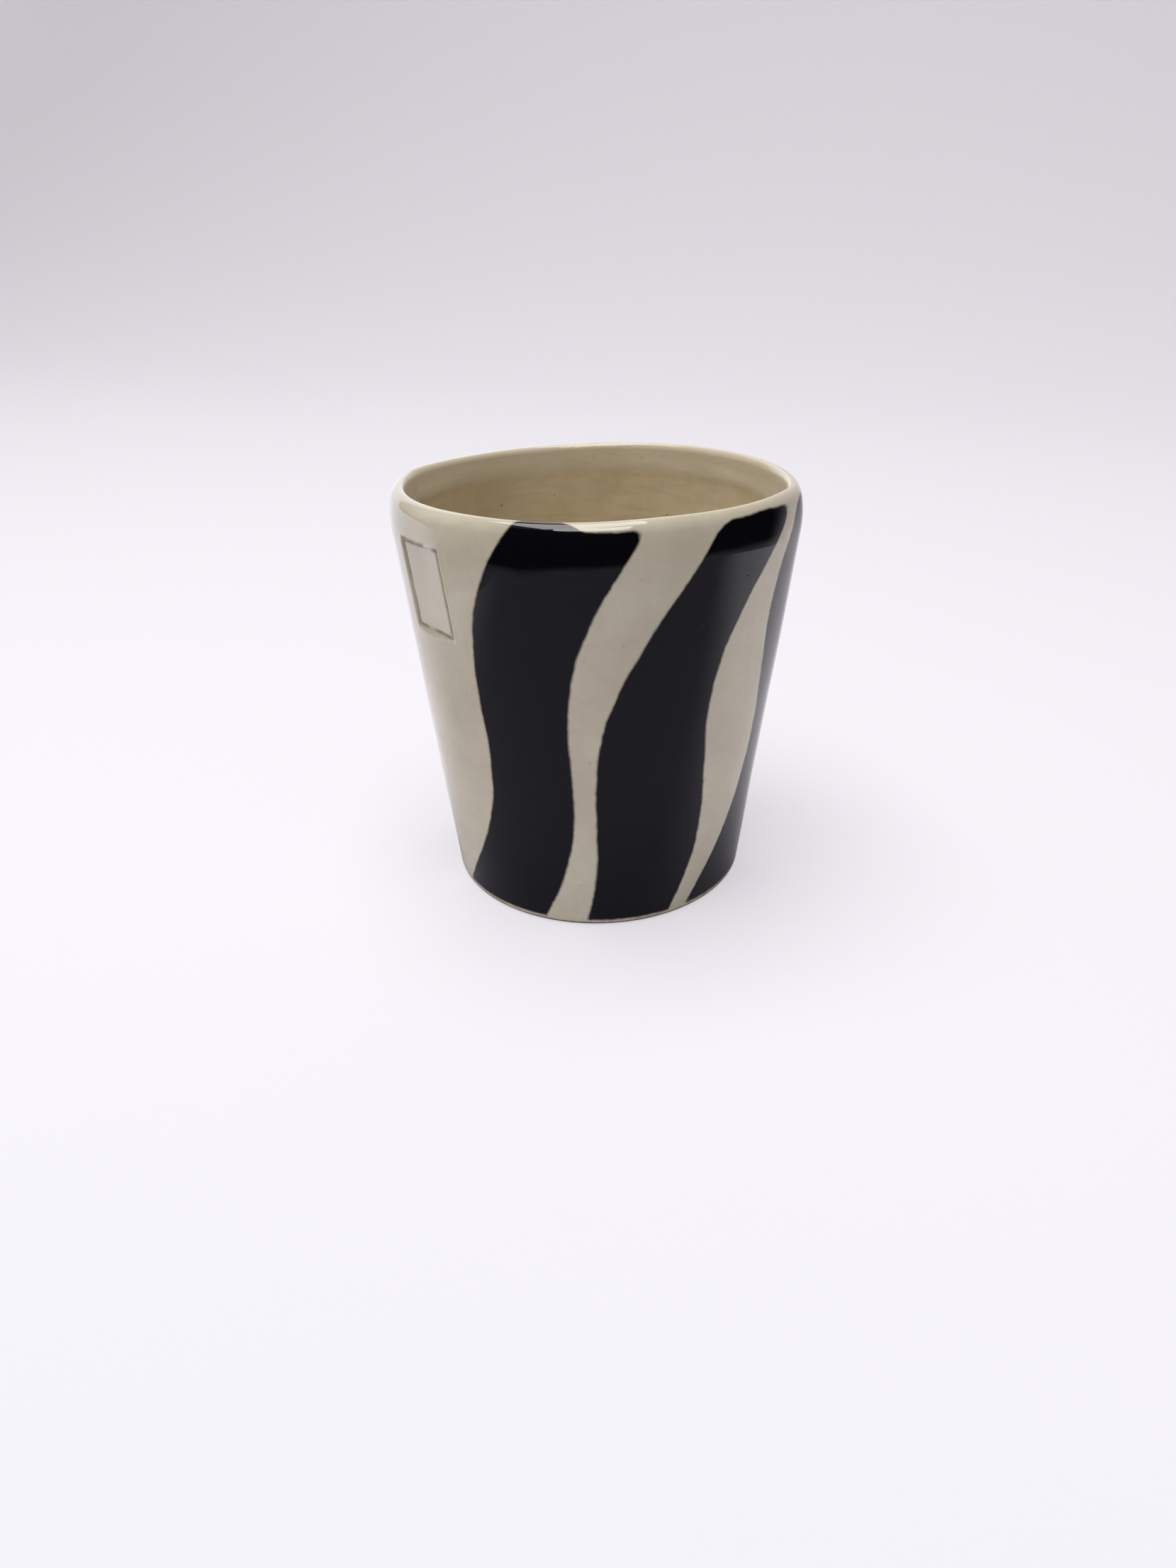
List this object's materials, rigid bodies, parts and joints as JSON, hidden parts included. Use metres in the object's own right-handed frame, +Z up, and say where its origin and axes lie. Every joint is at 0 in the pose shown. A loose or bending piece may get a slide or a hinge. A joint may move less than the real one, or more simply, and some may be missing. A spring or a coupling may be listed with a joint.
{
  "type": "drinking cup",
  "caption": "Handmade handle-less clay cup with a round foot, a squeezed almond-shaped mouth, a rounded lip and wave stripes of dark slip under clear glaze.",
  "frame": {"origin": "centre of the flat underside, on the surface that the cup stands on", "axes": "+Z up through the mouth, +X along the mouth's long axis, -Y to the front with the stamped panel at the left"},
  "size_m": [0.0896, 0.0816, 0.0941],
  "materials": {
    "glazed_clay": "clear gloss glaze over pale grey-buff stoneware",
    "floor_clay": "pale buff stoneware, glazed on top and bare brown clay on the underside",
    "dark_slip": "blue-black slip under clear gloss glaze"
  },
  "bodies": {
    "root": {"cup_wall": "glazed_clay", "cup_floor": "floor_clay", "floor_coil": "glazed_clay", "slip_stripe_1": "dark_slip", "slip_stripe_2": "dark_slip", "slip_stripe_3": "dark_slip", "slip_stripe_4": "dark_slip", "slip_stripe_5": "dark_slip", "slip_stripe_6": "dark_slip", "slip_stripe_7": "dark_slip"}
  },
  "joints": []
}
